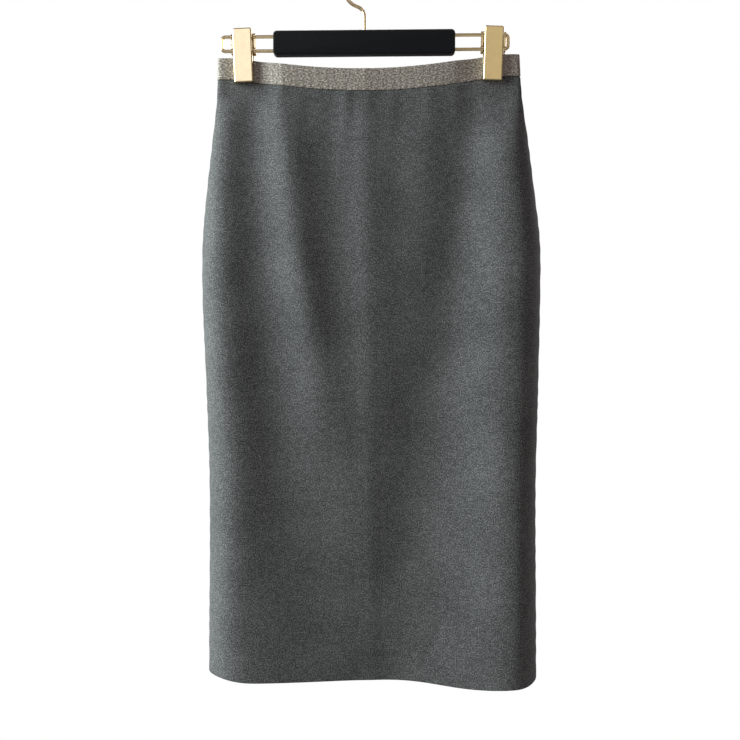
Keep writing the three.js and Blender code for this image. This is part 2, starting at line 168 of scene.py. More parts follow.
def makeWoolTwill(w):
    material, tree = newMaterial("worsted wool twill")
    uv = addNode(tree, "ShaderNodeUVMap", {"uv_map": "cloth"}).outputs["UV"]
    tall = addNode(tree, "ShaderNodeMapping", inputs={
        "Vector": uv, "Scale": (1, 1 / w["fleckStretch"], 1)})
    fleck = addNode(tree, "ShaderNodeTexNoise", inputs={
        "Vector": tall.outputs["Vector"], "Scale": noiseScale(w["fleckSize"]),
        "Detail": 2.5, "Roughness": 0.6})
    slub = addNode(tree, "ShaderNodeTexNoise", inputs={
        "Vector": tall.outputs["Vector"], "Scale": noiseScale(w["slubSize"]),
        "Detail": 3.0, "Roughness": 0.55})
    shade = addNode(tree, "ShaderNodeTexNoise", inputs={
        "Vector": uv, "Scale": noiseScale(w["shadeSize"]), "Detail": 2.0})
    part = addNode(tree, "ShaderNodeMath", {"operation": "MULTIPLY_ADD"}, {
        0: slub.outputs["Fac"], 1: w["slubShare"], 2: fleck.outputs["Fac"]})
    whole = addNode(tree, "ShaderNodeMath", {"operation": "MULTIPLY_ADD"}, {
        0: shade.outputs["Fac"], 1: w["shadeShare"], 2: part.outputs[0]})
    colour = addRamp(tree, whole.outputs[0], [
        (w["darkAt"], w["dark"]), (w["middleAt"], w["middle"]), (w["lightAt"], w["light"])])
    diagonal = addNode(tree, "ShaderNodeMapping", inputs={
        "Vector": uv, "Rotation": (0, 0, math.radians(w["twillSlope"]))})
    twill = addNode(tree, "ShaderNodeTexWave", {"bands_direction": "X"}, {
        "Vector": diagonal.outputs["Vector"], "Scale": waveScale(w["twillSpacing"]),
        "Distortion": 1.2, "Detail": 1.0, "Detail Scale": 2.0})
    height = addNode(tree, "ShaderNodeMath", {"operation": "MULTIPLY_ADD"}, {
        0: twill.outputs["Fac"], 1: w["twillShare"], 2: fleck.outputs["Fac"]})
    bump = addNode(tree, "ShaderNodeBump", inputs={
        "Height": height.outputs[0], "Strength": w["bump"], "Distance": w["bumpDepth"] * mm})
    finishMaterial(tree, {
        "Base Color": colour, "Roughness": w["roughness"], "Normal": bump.outputs["Normal"],
        "Sheen Weight": w["sheen"], "Sheen Roughness": w["sheenRoughness"],
        "Specular IOR Level": 0.2})
    return material


# Lurex elastic: polyester and rubber woven with flat metallic thread, which glitters in specks.
lurexElastic = {
    "shadow": "#4f4840", "thread": "#8d847a", "glint": "#d8cec2",
    "shadowAt": 0.38, "threadAt": 0.54, "glintAt": 0.7,
    "speckSize": 1.5, "speckStretch": 1.5,
    "ribSpacing": 1.3,  # really 0.9 mm, drawn coarser so that it shows
    "ribShare": 0.08,
    "metal": 0.12, "roughness": 0.6, "bump": 0.4, "bumpDepth": 0.2,
}


def makeLurexElastic(e):
    material, tree = newMaterial("lurex elastic")
    uv = addNode(tree, "ShaderNodeUVMap", {"uv_map": "cloth"}).outputs["UV"]
    wide = addNode(tree, "ShaderNodeMapping", inputs={
        "Vector": uv, "Scale": (1 / e["speckStretch"], 1, 1)})
    speck = addNode(tree, "ShaderNodeTexNoise", inputs={
        "Vector": wide.outputs["Vector"], "Scale": noiseScale(e["speckSize"]),
        "Detail": 2.0, "Roughness": 0.7})
    rib = addNode(tree, "ShaderNodeTexWave", {"bands_direction": "Y"}, {
        "Vector": uv, "Scale": waveScale(e["ribSpacing"]), "Distortion": 2.0, "Detail": 1.5})
    mixed = addNode(tree, "ShaderNodeMath", {"operation": "MULTIPLY_ADD"}, {
        0: rib.outputs["Fac"], 1: e["ribShare"], 2: speck.outputs["Fac"]})
    colour = addRamp(tree, mixed.outputs[0], [
        (e["shadowAt"], e["shadow"]), (e["threadAt"], e["thread"]), (e["glintAt"], e["glint"])])
    bump = addNode(tree, "ShaderNodeBump", inputs={
        "Height": mixed.outputs[0], "Strength": e["bump"], "Distance": e["bumpDepth"] * mm})
    finishMaterial(tree, {
        "Base Color": colour, "Metallic": e["metal"], "Roughness": e["roughness"],
        "Normal": bump.outputs["Normal"]})
    return material


# Pale gold plating on pressed and drawn steel: a polished face with very fine wipe marks.
goldPlate = {
    "colour": "#efd7aa", "roughness": 0.17, "spread": 0.05,
    "markSize": 9.0, "bump": 0.05, "bumpDepth": 0.2,
}


def makeGoldPlate(g):
    material, tree = newMaterial("gold plated steel")
    place = addNode(tree, "ShaderNodeTexCoord").outputs["Object"]
    marks = addNode(tree, "ShaderNodeTexNoise", inputs={
        "Vector": place, "Scale": noiseScale(g["markSize"]), "Detail": 4.0, "Roughness": 0.6})
    rough = addNode(tree, "ShaderNodeMapRange", inputs={
        "Value": marks.outputs["Fac"], "From Min": 0.3, "From Max": 0.7,
        "To Min": g["roughness"] - g["spread"] / 2, "To Max": g["roughness"] + g["spread"] / 2})
    bump = addNode(tree, "ShaderNodeBump", inputs={
        "Height": marks.outputs["Fac"], "Strength": g["bump"], "Distance": g["bumpDepth"] * mm})
    finishMaterial(tree, {
        "Base Color": linear(g["colour"]), "Metallic": 1.0, "Roughness": rough.outputs["Result"],
        "Normal": bump.outputs["Normal"]})
    return material


# Flocked foam: short nylon fibres stand in glue on a soft black sleeve, so it has no gloss.
flockedFoam = {
    "low": "#0d0d0f", "high": "#252528", "lowAt": 0.35, "highAt": 0.7, "tuftSize": 1.1,
    "sheen": 0.25, "sheenRoughness": 0.4, "bump": 0.6, "bumpDepth": 0.3,
}


def makeFlockedFoam(f):
    material, tree = newMaterial("flocked foam")
    place = addNode(tree, "ShaderNodeTexCoord").outputs["Object"]
    tufts = addNode(tree, "ShaderNodeTexNoise", inputs={
        "Vector": place, "Scale": noiseScale(f["tuftSize"]), "Detail": 3.0, "Roughness": 0.7})
    colour = addRamp(tree, tufts.outputs["Fac"], [
        (f["lowAt"], f["low"]), (f["highAt"], f["high"])])
    bump = addNode(tree, "ShaderNodeBump", inputs={
        "Height": tufts.outputs["Fac"], "Strength": f["bump"], "Distance": f["bumpDepth"] * mm})
    finishMaterial(tree, {
        "Base Color": colour, "Roughness": 1.0, "Normal": bump.outputs["Normal"],
        "Sheen Weight": f["sheen"], "Sheen Roughness": f["sheenRoughness"],
        "Specular IOR Level": 0.1})
    return material


wool = makeWoolTwill(woolTwill)
elastic = makeLurexElastic(lurexElastic)
gold = makeGoldPlate(goldPlate)
flock = makeFlockedFoam(flockedFoam)
print("materials made")


# The form of the skirt, in millimetres

skirt = {
    "bandTopZ": -103.0, "bandTilt": 0.0054, "bandHeight": 25.0, "hemZ": -820.0, "hemHeight": 32.0,
    "sagDepth": 16.4, "sagCentre": 2.5, "sagReach": 148.0,
    "foldBend": 1.5, "foldRise": 90.0,  # a fold lies on a curve and swells from its upper end
    "foldFadeOut": 0.55, "foldSideFade": 10,  # and fades from here to its lower end, and at the sides
    "ringSteps": 900,
}

clipX = {"left": -141.2, "right": 149.4}  # the middle of each clip

# The clips pinch the cloth flat between their jaws, and it opens out below them
grip = {
    "halfWidth": 13.5, "halfDepth": 2.6, "bottomZ": -135.6,
    "fadeInward": 36.0, "fadeOutward": 30.0, "fadeDown": 30.0,
}

# The plain section at a few heights: middle, half width, depth of front and back, squareness
sections = table(
    "z centre half front back power",
    (-101, 3.8, 175.3, 12, 10, 2.3),
    (-150, 4.9, 177.3, 11, 11, 2.4),
    (-200, 5.7, 183.3, 26, 21, 2.4),
    (-260, 6.2, 189.9, 35, 30, 2.5),
    (-320, 7.2, 195.5, 39, 36, 2.5),
    (-390, 7.4, 195.4, 42, 39, 2.6),
    (-480, 8.4, 192.0, 42, 40, 2.8),
    (-595, 8.8, 188.8, 50, 40, 2.5),
    (-820, 8.8, 189.0, 42, 37, 3.1),
)

# The large soft folds, each from its upper to its lower end; a trough has a height below zero
folds = table(
    "side topX lowX topZ lowZ width height",
    ("front", -133, -45, -112, -844, 41, -12),
    ("front", -99, -42, -105, -519, 22, 8),
    ("front", -178, -147, -105, -1103, 45, 15),
    ("front", -36, 5, -130, -644, 30, -7),
    ("front", 38, 40, -107, -854, 34, -6),
    ("front", 129, 30, -106, -764, 44, -13),
    ("front", 164, 174, -144, -1202, 42, 22),
    ("front", 200, 186, -105, -1051, 23, 25),
    ("front", -17, 23, -488, -1141, 76, -14),
    ("front", 103, 2, -493, -993, 49, -11),
    ("back", 134, 64, -110, -640, 30, -10),
    ("back", -130, -60, -110, -760, 36, -11),
    ("back", -150, -118, -300, -1200, 34, 9),
    ("back", 150, 120, -300, -1200, 34, 10),
    ("back", 30, -12, -380, -1200, 60, -9),
)

# The hem isn't quite level: at each place along the waist, how far it rises, or drops below zero
hemRises = table("x width height", (-171, 31, 5.3), (105, 40, -4))

# The centre seams, each a straight line down to the hem, on a low ridge of its own
seams = {"front": {"waistX": 0.0, "hemX": 8.8}, "back": {"waistX": 4.0, "hemX": 8.8}}
seamRidge = {"width": 8.0, "height": 0.5}

# The band draws the cloth in a little, which leaves short soft gathers below it
gathers = table(
    "side x width height length",
    ("front", -128, 11, -0.9, 40), ("front", -97, 6, 0.8, 45), ("front", -72, 7, 0.6, 40),
    ("front", -52, 6, 0.35, 34), ("front", -21, 8, 1.7, 66), ("front", 6, 5, 0.3, 26),
    ("front", 33, 8, 1.0, 46), ("front", 52, 6, 0.4, 36), ("front", 75, 7, 0.7, 42),
    ("front", 108, 9, 1.4, 62), ("front", 145, 10, 1.6, 66), ("front", 166, 6, 0.5, 44),
    ("back", -118, 8, 1.1, 48), ("back", -91, 6, 0.7, 40), ("back", -52, 9, 1.4, 60),
    ("back", -22, 6, 0.5, 34), ("back", 27, 8, 1.0, 46), ("back", 52, 6, 0.6, 40),
    ("back", 83, 9, 1.3, 56), ("back", 121, 7, 0.8, 50),
)

# Faint creases pressed in by folding: a soft line between two points, with a height below zero
creases = table(
    "side x z x2 z2 width height",
    ("front", -34, -393, -8, -397, 3.5, -0.45),
    ("front", -44, -651, -14, -655, 3.5, -0.55),
    ("front", 18, -694, 58, -688, 4.0, -0.6),
    ("front", 92, -742, 66, -808, 6.0, -0.9),
    ("front", -96, -560, -60, -572, 5.0, -0.4),
    ("front", 96, -470, 132, -486, 5.0, -0.4),
    ("back", -80, -520, -30, -528, 4.0, -0.5),
    ("back", 24, -640, 84, -628, 4.5, -0.5),
    ("back", -60, -726, -16, -736, 4.0, -0.5),
)


def columnAt(name, z):
    # one column of the section table on a smooth curve through its rows
    heights = np.array([row["z"] for row in sections], float)
    values = np.array([row[name] for row in sections], float)
    last = len(heights) - 1
    before = np.maximum(np.arange(len(heights)) - 1, 0)
    after = np.minimum(np.arange(len(heights)) + 1, last)
    slopes = (values[after] - values[before]) / (heights[after] - heights[before])
    held = np.clip(z, heights[-1], heights[0])
    row = np.clip(np.searchsorted(-heights, -held, side="right") - 1, 0, last - 1)
    span = heights[row + 1] - heights[row]
    t = (held - heights[row]) / span
    rise = 3 * t ** 2 - 2 * t ** 3
    return (values[row] * (1 - rise) + values[row + 1] * rise
            + span * (slopes[row] * (t ** 3 - 2 * t ** 2 + t) + slopes[row + 1] * (t ** 3 - t ** 2)))


def sagAt(x):
    # how far the band hangs below its plain top
    t = (x - skirt["sagCentre"]) / skirt["sagReach"]
    return skirt["sagDepth"] * np.maximum(1 - t * t, 0) - skirt["bandTilt"] * x


def hemAt(x):
    z = np.full_like(x, skirt["hemZ"])
    for rise in hemRises:
        z += rise["height"] * bell((x - rise["x"]) / rise["width"])
    return z


def gripAt(x, z):
    down = 1 - smooth((grip["bottomZ"] - z) / grip["fadeDown"])
    holds = []
    for place in clipX.values():
        away = np.abs(x - place) - grip["halfWidth"]
        outward = (x - place) * np.sign(place) > 0
        holds.append(1 - smooth(away / np.where(outward, grip["fadeOutward"], grip["fadeInward"])))
    return np.maximum(*holds) * down


def foldsAt(side, x, z):
    out = np.zeros_like(x)
    for fold in folds:
        if fold["side"] != side:
            continue
        t = np.clip((fold["topZ"] - z) / (fold["topZ"] - fold["lowZ"]), 0, 1)
        middle = fold["topX"] + (fold["lowX"] - fold["topX"]) * t ** skirt["foldBend"]
        fadeIn = smooth((fold["topZ"] - z) / skirt["foldRise"])
        fadeOut = 1 - smooth((t - skirt["foldFadeOut"]) / (1 - skirt["foldFadeOut"]))
        out += fold["height"] * fadeIn * fadeOut * bell((x - middle) / fold["width"])
    return out


def seamX(seam, z):
    t = (skirt["bandTopZ"] - z) / (skirt["bandTopZ"] - skirt["hemZ"])
    return seam["waistX"] + (seam["hemX"] - seam["waistX"]) * t


def clothRounds(heightAt, levels):
    # rings of points round the cloth, from the left side over the front, the right and the back
    turn = np.linspace(0, 2, skirt["ringSteps"] + 1)[None, :]
    level = np.asarray(levels, float)[:, None]
    across = -np.cos(turn * math.pi) * np.ones_like(level)
    flatX = columnAt("centre", skirt["bandTopZ"]) + columnAt("half", skirt["bandTopZ"]) * across
    z = heightAt(flatX, level)
    x = columnAt("centre", z) + columnAt("half", z) * across
    power = columnAt("power", z)
    shape = np.maximum(1 - np.abs(across) ** power, 0) ** (1 / power)
    free = 1 - np.abs(across) ** skirt["foldSideFade"]
    isFront = (turn <= 1) * np.ones_like(level) > 0
    held = gripAt(x, z)  # 1 where a clip holds the cloth flat, 0 where it hangs free
    depth = np.zeros_like(x)
    for side, mask in (("front", isFront), ("back", ~isFront)):
        plain = columnAt(side, z) * shape
        ridge = seamRidge["height"] * bell((x - seamX(seams[side], z)) / seamRidge["width"])
        least = np.minimum(grip["halfDepth"], plain)
        loose = np.maximum(plain + (foldsAt(side, x, z) + ridge) * free, least)
        depth += mask * (loose * (1 - held) + least * held)
    y = np.where(isFront, -depth, depth)
    return np.stack([x, y, z], axis=-1), held


def clothGrid(heightAt, levels, columns, crowd):
    # even columns on each panel between its seams, crowded near them; the last closes the ring
    rings, held = clothRounds(heightAt, levels)
    steps = np.linalg.norm(np.diff(rings, axis=1), axis=2)
    lengths = np.concatenate([np.zeros((len(rings), 1)), np.cumsum(steps, axis=1)], axis=1)
    half = skirt["ringSteps"] // 2
    u = np.arange(columns) / columns
    share = u - crowd * np.sin(2 * math.pi * u) / (2 * math.pi)
    points, seamGap, flatPlace, grips = [], [], [], []
    for ring, length, hold in zip(rings, lengths, held):
        middleZ = ring[half // 2, 2]
        front = np.interp(seamX(seams["front"], middleZ), ring[:half + 1, 0], length[:half + 1])
        back = np.interp(-seamX(seams["back"], middleZ), -ring[half:, 0], length[half:])
        marks = [0.0, front, length[half], back, length[-1]]
        wanted = np.concatenate([a + (b - a) * share for a, b in zip(marks[:-1], marks[1:])])
        points.append(np.stack([np.interp(wanted, length, ring[:, i]) for i in range(3)], axis=-1))
        seamGap.append(np.min([np.abs(wanted - mark) for mark in marks], axis=0))
        flatPlace.append(wanted - front)
        grips.append(np.interp(wanted, length, hold))
    points = np.array(points)
    along = np.roll(points, -1, axis=1) - np.roll(points, 1, axis=1)
    down = np.gradient(points, axis=0)
    out = np.cross(down, along)
    out /= np.linalg.norm(out, axis=2, keepdims=True)
    return {"points": points, "out": out, "seamGap": np.array(seamGap),
            "flat": np.array(flatPlace), "grip": np.array(grips)}


seedStep = Vector((7.3, 3.1, 5.7))  # each seed reads the noise at another place


def softNoise(points, size, seed):
    # a slow wander between -1 and 1, with a size across, in depth and in height
    flat = (points / np.asarray(size)).reshape(-1, 3)
    shift = seedStep * seed
    return np.array([noise.noise(Vector(p) + shift) for p in flat]).reshape(points.shape[:2])


def wallMesh(name, outer, inner, uvs, material, closed=False):
    # a closed wall from an outer and an inner grid of points in millimetres
    rows, columns = outer.shape[:2]
    spans = columns if closed else columns - 1

    def at(layer, row, column):
        return (layer * rows + row) * columns + column % columns

    faces = []
    low, right = rows - 1, columns - 1
    for a in range(spans):
        b = a + 1
        for row in range(rows - 1):
            under = row + 1
            faces.append((at(0, row, a), at(0, under, a), at(0, under, b), at(0, row, b)))
            faces.append((at(1, row, a), at(1, row, b), at(1, under, b), at(1, under, a)))
        faces.append((at(0, 0, a), at(0, 0, b), at(1, 0, b), at(1, 0, a)))
        faces.append((at(0, low, a), at(1, low, a), at(1, low, b), at(0, low, b)))
    if not closed:
        for row in range(rows - 1):
            under = row + 1
            faces.append((at(0, row, 0), at(1, row, 0), at(1, under, 0), at(0, under, 0)))
            faces.append((at(0, row, right), at(0, under, right),
                          at(1, under, right), at(1, row, right)))
    points = np.concatenate([outer.reshape(-1, 3), inner.reshape(-1, 3)]) * mm
    mesh = bpy.data.meshes.new(name)
    mesh.from_pydata(points.tolist(), [], faces)
    uvLayer = mesh.uv_layers.new(name="cloth")
    flat = np.concatenate([uvs.reshape(-1, 2)] * 2) * mm
    corners = np.zeros(len(mesh.loops), int)
    mesh.loops.foreach_get("vertex_index", corners)
    uvLayer.data.foreach_set("uv", flat[corners].ravel())
    mesh.materials.append(material)
    mesh.polygons.foreach_set("use_smooth", [True] * len(mesh.polygons))
    mesh.update()
    obj = bpy.data.objects.new(name, mesh)
    bpy.context.collection.objects.link(obj)
    return obj


# Panels: wool twill walls with pressed seams, a turned hem and the small creases

panels = {
    "thickness": 1.2, "hemThickness": 2.6,
    "hemRadius": 1.2, "hemTurn": 0.94,  # the share of a quarter round at the hem's edge
    "tuck": 6.0, "tuckDepth": 1.3, "tuckReach": 1.8,  # the top goes in and up behind the band
    "columns": 120, "crowd": 0.65, "rows": 190, "rowCrowding": 1.3,
    "ledge": 0.6, "hemRows": 12, "edgeRows": 6,
    "grooveWidth": 1.0, "grooveDepth": 0.07,
    "allowance": 11.0, "allowanceRise": 0.12, "allowanceEdge": 4.0,  # lies behind, beside a seam
    "puckerLength": 24.0, "puckerPlace": 5.0, "puckerReach": 16.0, "puckerHeight": 0.22,
    "puckerSize": (900.0, 900.0, 60.0),  # how fast the puckers' spacing wanders
    "gatherSlant": 0.04, "gatherFade": 1.6,
    "wander": 0.9, "wanderSize": (55.0, 400.0, 160.0),
    "coveredBelow": -3.0, "coverFade": 8.0,  # the band holds the cloth flat at its lower edge
}


def lineDistance(x, z, row):
    # how far a point is beside a crease's line and past its ends, and its share of the height
    dx, dz = row["x2"] - row["x"], row["z2"] - row["z"]
    length = math.hypot(dx, dz)
    along = ((x - row["x"]) * dx + (z - row["z"]) * dz) / length
    beside = ((x - row["x"]) * dz - (z - row["z"]) * dx) / length
    past = np.maximum(np.maximum(-along, along - length), 0)
    middle = 1 - np.clip(np.abs(along / length - 0.5) * 2, 0, 1) ** 3
    return beside, past, middle


def clothDetail(grid, p):
    points, seamGap = grid["points"], grid["seamGap"]
    x, y, z = points[..., 0], points[..., 1], points[..., 2]
    below = skirt["bandTopZ"] - skirt["bandHeight"] - sagAt(x) - z
    masks = {"front": y < 0, "back": y >= 0}
    out = np.zeros_like(x)
    for row in gathers:
        fade = np.exp(-(np.maximum(below, 0) / row["length"]) ** p["gatherFade"])
        aside = (x - row["x"] + below * p["gatherSlant"]) / row["width"]
        out += masks[row["side"]] * row["height"] * fade * bell(aside)
    for row in creases:
        beside, past, middle = lineDistance(x, z, row)
        near = bell(beside / row["width"]) * bell(past / row["width"])
        out += masks[row["side"]] * row["height"] * middle * near
    out += p["wander"] * softNoise(points, p["wanderSize"], seed=1)
    turns = z / p["puckerLength"] + softNoise(points, p["puckerSize"], seed=2)
    reach = bell((seamGap - p["puckerPlace"]) / p["puckerReach"])
    out += p["puckerHeight"] * np.cos(turns * 2 * math.pi) * reach
    pastAllowance = (seamGap - p["allowance"]) / p["allowanceEdge"] + 0.5
    out += p["allowanceRise"] * (1 - smooth(pastAllowance))
    out *= (1 - grid["grip"]) * smooth((below - p["coveredBelow"]) / p["coverFade"])
    out -= p["grooveDepth"] * bell(seamGap / p["grooveWidth"])
    out -= p["tuckDepth"] * (1 - smooth(below / p["tuckReach"]))
    return out


def panelHeights(p):
    # levels from 0, tucked under the band, to 1 at the hem, with a ledge where the hem ends
    length = skirt["bandTopZ"] - skirt["bandHeight"] - skirt["sagDepth"] / 2 - skirt["hemZ"]
    ledge = 1 - skirt["hemHeight"] / length
    upper = np.linspace(0, 1, p["rows"]) ** p["rowCrowding"] * ledge
    lower = np.linspace(ledge + p["ledge"] / length, 1 - 2 * p["hemRadius"] / length, p["hemRows"])
    angles = np.linspace(0, math.pi / 2, p["edgeRows"] + 1)[1:] * p["hemTurn"]
    turned = 1 - p["hemRadius"] * (1 - np.sin(angles)) / length
    levels = np.concatenate([upper, lower, turned])
    thickness = np.full(len(levels), p["hemThickness"])
    thickness[:len(upper)] = p["thickness"]
    roll = np.concatenate([np.zeros(len(levels) - len(turned)), 1 - np.cos(angles)])
    return levels, thickness, roll


def makePanels(p):
    levels, thickness, roll = panelHeights(p)

    def heightAt(x, level):
        top = skirt["bandTopZ"] - skirt["bandHeight"] - sagAt(x) + p["tuck"]
        return top + (hemAt(x) - top) * level

    grid = clothGrid(heightAt, levels, p["columns"], p["crowd"])
    detail = clothDetail(grid, p)
    rollIn = (roll * p["hemThickness"] / 2)[:, None]
    outer = grid["points"] + grid["out"] * (detail - rollIn)[..., None]
    inner = grid["points"] + grid["out"] * (detail + rollIn - thickness[:, None])[..., None]
    uvs = np.stack([grid["flat"], grid["points"][..., 2]], axis=-1)
    made = {}
    names = ("front_left", "front_right", "back_right", "back_left")
    for i, name in enumerate(names):
        columns = np.arange(i * p["columns"], (i + 1) * p["columns"] + 1) % outer.shape[1]
        uv = uvs[:, columns].copy()
        if columns[-1] == 0:  # the last column is the first one of the ring again
            steps = np.linalg.norm(outer[:, columns[-1]] - outer[:, columns[-2]], axis=1)
            uv[:, -1, 0] = uv[:, -2, 0] + steps
        made[name] = wallMesh("cloth_" + name, outer[:, columns], inner[:, columns], uv, wool)
        widths = np.linalg.norm(np.diff(outer[:, columns], axis=1), axis=2).sum(axis=1)
        print("panel", name, "in mm, at the band, widest, at the hem, on average:",
              *(round(float(w)) for w in (widths[0], widths.max(), widths[-1], widths.mean())))
    return made


cloth = makePanels(panels)
for node, piece in cloth.items():
    smoothByAngle(piece, 50)  # the ends of the walls, at the seams and the hem, stay sharp
    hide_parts(node)
    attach(piece, "root")
print("panels made")


# Waistband: flat elastic with rounded edges, slightly rippled where its thread pulls the cloth

waistband = {
    "proud": 0.5, "thickness": 1.15, "edgeRadius": 0.45, "edgeRoll": 0.9, "shoulder": 0.3,
    "columns": 120, "rows": 12,
    "rippleLength": 9.0, "rippleHeight": 0.3, "rippleWander": 5.0, "wanderSize": (22.0, 400.0, 90.0),
    "calmAt": 0.45, "calmShare": 0.35,  # the ripple is least near the middle of the height
}


def makeWaistband(b):
    edge = b["edgeRadius"] / skirt["bandHeight"]
    upper = np.array([0, edge * b["shoulder"]])
    levels = np.concatenate([upper, np.linspace(edge, 1 - edge, b["rows"]), 1 - upper[::-1]])
    roll = np.zeros(len(levels))
    roll[[0, -1]] = 1.0
    roll[[1, -2]] = b["shoulder"]

    def heightAt(x, level):
        return skirt["bandTopZ"] - sagAt(x) - skirt["bandHeight"] * level

    grid = clothGrid(heightAt, levels, b["columns"], 0.0)
    points = grid["points"]
    wander = b["rippleWander"] * softNoise(points, b["wanderSize"], seed=3)
    phase = grid["flat"] * 2 * math.pi / b["rippleLength"] + wander
    away = np.abs(levels - b["calmAt"])[:, None] * 2
    strength = b["calmShare"] + (1 - b["calmShare"]) * away
    ripple = b["rippleHeight"] * (np.cos(phase) - 1) / 2 * strength
    lift = b["proud"] + ripple * (1 - grid["grip"])
    rollIn = (roll * b["thickness"] / 2)[:, None] * b["edgeRoll"]
    outer = points + grid["out"] * (lift - rollIn)[..., None]
    inner = points + grid["out"] * (lift - b["thickness"] + rollIn)[..., None]
    uvs = np.stack([grid["flat"], points[..., 2]], axis=-1)
    return wallMesh("elastic_waistband", outer, inner, uvs, elastic, closed=True)


band = makeWaistband(waistband)
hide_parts("waistband")
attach(band, "root")
print("waistband made")


# Modelling helpers for the hanger

same = 0.1  # two places less than this apart, in millimetres, are taken as one


def addBlock(name, low, high):
    # a cube at its real size and place, in millimetres
    deselectAll()
    bpy.ops.mesh.primitive_cube_add(size=1)
    obj = bpy.context.object
    obj.name = obj.data.name = name
    obj.scale = [(b - a) * mm for a, b in zip(low, high)]
    obj.location = [(a + b) / 2 * mm for a, b in zip(low, high)]
    bpy.ops.object.transform_apply(location=True, rotation=True, scale=True)
    return obj


def clearPicks(obj):
    makeActive(obj)
    for part in (obj.data.vertices, obj.data.edges, obj.data.polygons):
        part.foreach_set("select", [False] * len(part))


def pickFaces(obj, wanted):
    # opens edit mode with the faces selected whose centre and normal pass
    clearPicks(obj)
    for face in obj.data.polygons:
        face.select = bool(wanted(face.center / mm, face.normal))
    bpy.ops.object.mode_set(mode="EDIT")
    bpy.ops.mesh.select_mode(type="FACE")


def pickEdges(obj, wanted):
    # opens edit mode with the edges selected whose two ends pass
    clearPicks(obj)
    for edge in obj.data.edges:
        a, b = (obj.data.vertices[i].co / mm for i in edge.vertices)
        edge.select = bool(wanted(a, b))
    bpy.context.tool_settings.mesh_select_mode = (False, True, False)
    bpy.ops.object.mode_set(mode="EDIT")


def closeEdit():
    bpy.ops.object.mode_set(mode="OBJECT")


def bevelPicked(width, segments):
    bpy.ops.mesh.bevel(offset=width * mm, segments=segments, profile=0.5, affect="EDGES")
    closeEdit()


def applyModifier(obj, kind, settings):
    makeActive(obj)
    modifier = obj.modifiers.new(kind.lower(), kind)
    for key, value in settings.items():
        setattr(modifier, key, value)
    bpy.ops.object.modifier_apply(modifier=modifier.name)


def finishRims(obj, width):
    # pressed sheet: small round rims that turn smoothly, and broad faces that reflect as flat
    applyModifier(obj, "BEVEL", {"width": width * mm, "segments": 2, "limit_method": "ANGLE",
                                 "angle_limit": math.radians(50)})
    smoothByAngle(obj)
    applyModifier(obj, "WEIGHTED_NORMAL", {"keep_sharp": True, "weight": 100})


def joinPieces(pieces, name):
    makeActive(pieces[0])
    for piece in pieces[1:]:
        piece.select_set(True)
    bpy.ops.object.join()
    obj = bpy.context.object
    obj.name = obj.data.name = name
    return obj


def finishPiece(obj, node, material):
    obj.data.materials.clear()
    obj.data.materials.append(material)
    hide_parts(node)
    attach(obj, "root")


def startWire(name, centre, facing, radius, sides):
    # an open ring of vertices, ready to be drawn out into a wire
    deselectAll()
    turned = {"x": (0, math.pi / 2, 0), "z": (0, 0, 0)}[facing]
    bpy.ops.mesh.primitive_circle_add(
        vertices=sides, radius=radius * mm, fill_type="NOTHING",
        location=[c * mm for c in centre], rotation=turned)
    obj = bpy.context.object
    obj.name = obj.data.name = name
    bpy.ops.object.transform_apply(location=True, rotation=True, scale=True)
    bpy.ops.object.mode_set(mode="EDIT")
    bpy.ops.mesh.select_mode(type="VERT")
    bpy.ops.mesh.select_all(action="SELECT")
    return obj


def drawStraight(x, y, z):
    bpy.ops.mesh.extrude_region_move(TRANSFORM_OT_translate={"value": (x * mm, y * mm, z * mm)})


def drawBend(centre, degrees, steps):
    # bends the wire about a point in the plane of the hanger; a spin turns the other way round
    bpy.ops.mesh.spin(
        steps=steps, angle=math.radians(-degrees), center=[c * mm for c in centre], axis=(0, 1, 0))


def closeWire():
    bpy.ops.mesh.select_all(action="SELECT")
    bpy.ops.mesh.remove_doubles(threshold=0.02 * mm)
    bpy.ops.mesh.normals_make_consistent(inside=False)
    closeEdit()


# Rails: one closed loop of drawn wire, the two rods of the hanger

rails = {
    "wire": 2.0, "upperZ": -78.5, "lowerZ": -95.1, "halfLength": 166.5, "corner": 4.0,
    "sides": 24, "cornerSteps": 8,
}


def makeRails(r):
    # from the middle of the lower rod round the four corners, with a straight run after each
    straight = r["halfLength"] - r["corner"]
    low, high = r["lowerZ"] + r["corner"], r["upperZ"] - r["corner"]
    corners = ((straight, low), (straight, high), (-straight, high), (-straight, low))
    runs = ((0, high - low), (-2 * straight, 0), (0, low - high), (straight, 0))
    obj = startWire("rail_wire", (0, 0, r["lowerZ"]), "x", r["wire"], r["sides"])
    drawStraight(straight, 0, 0)
    for (x, z), (runX, runZ) in zip(corners, runs):
        drawBend((x, 0, z), -90, r["cornerSteps"])
        drawStraight(runX, 0, runZ)
    closeWire()
    smoothByAngle(obj)
    finishPiece(obj, "rail_loop", gold)


makeRails(rails)
print("rails made")


# Hook: a stem out of the sleeve, a small bend back and the large bend that goes over the rail

hook = {
    "wire": 2.0, "stemLowZ": -76.2, "stemBend": 12.0, "bend": 24.0, "bendZ": -22.0, "tip": -25.0,
    "sides": 24, "stemSteps": 10, "bendSteps": 44,
    "tipSteps": ((0.8, 0.88), (0.7, 0.72), (0.4, 0.5)),  # length of each, and how much it shrinks
}


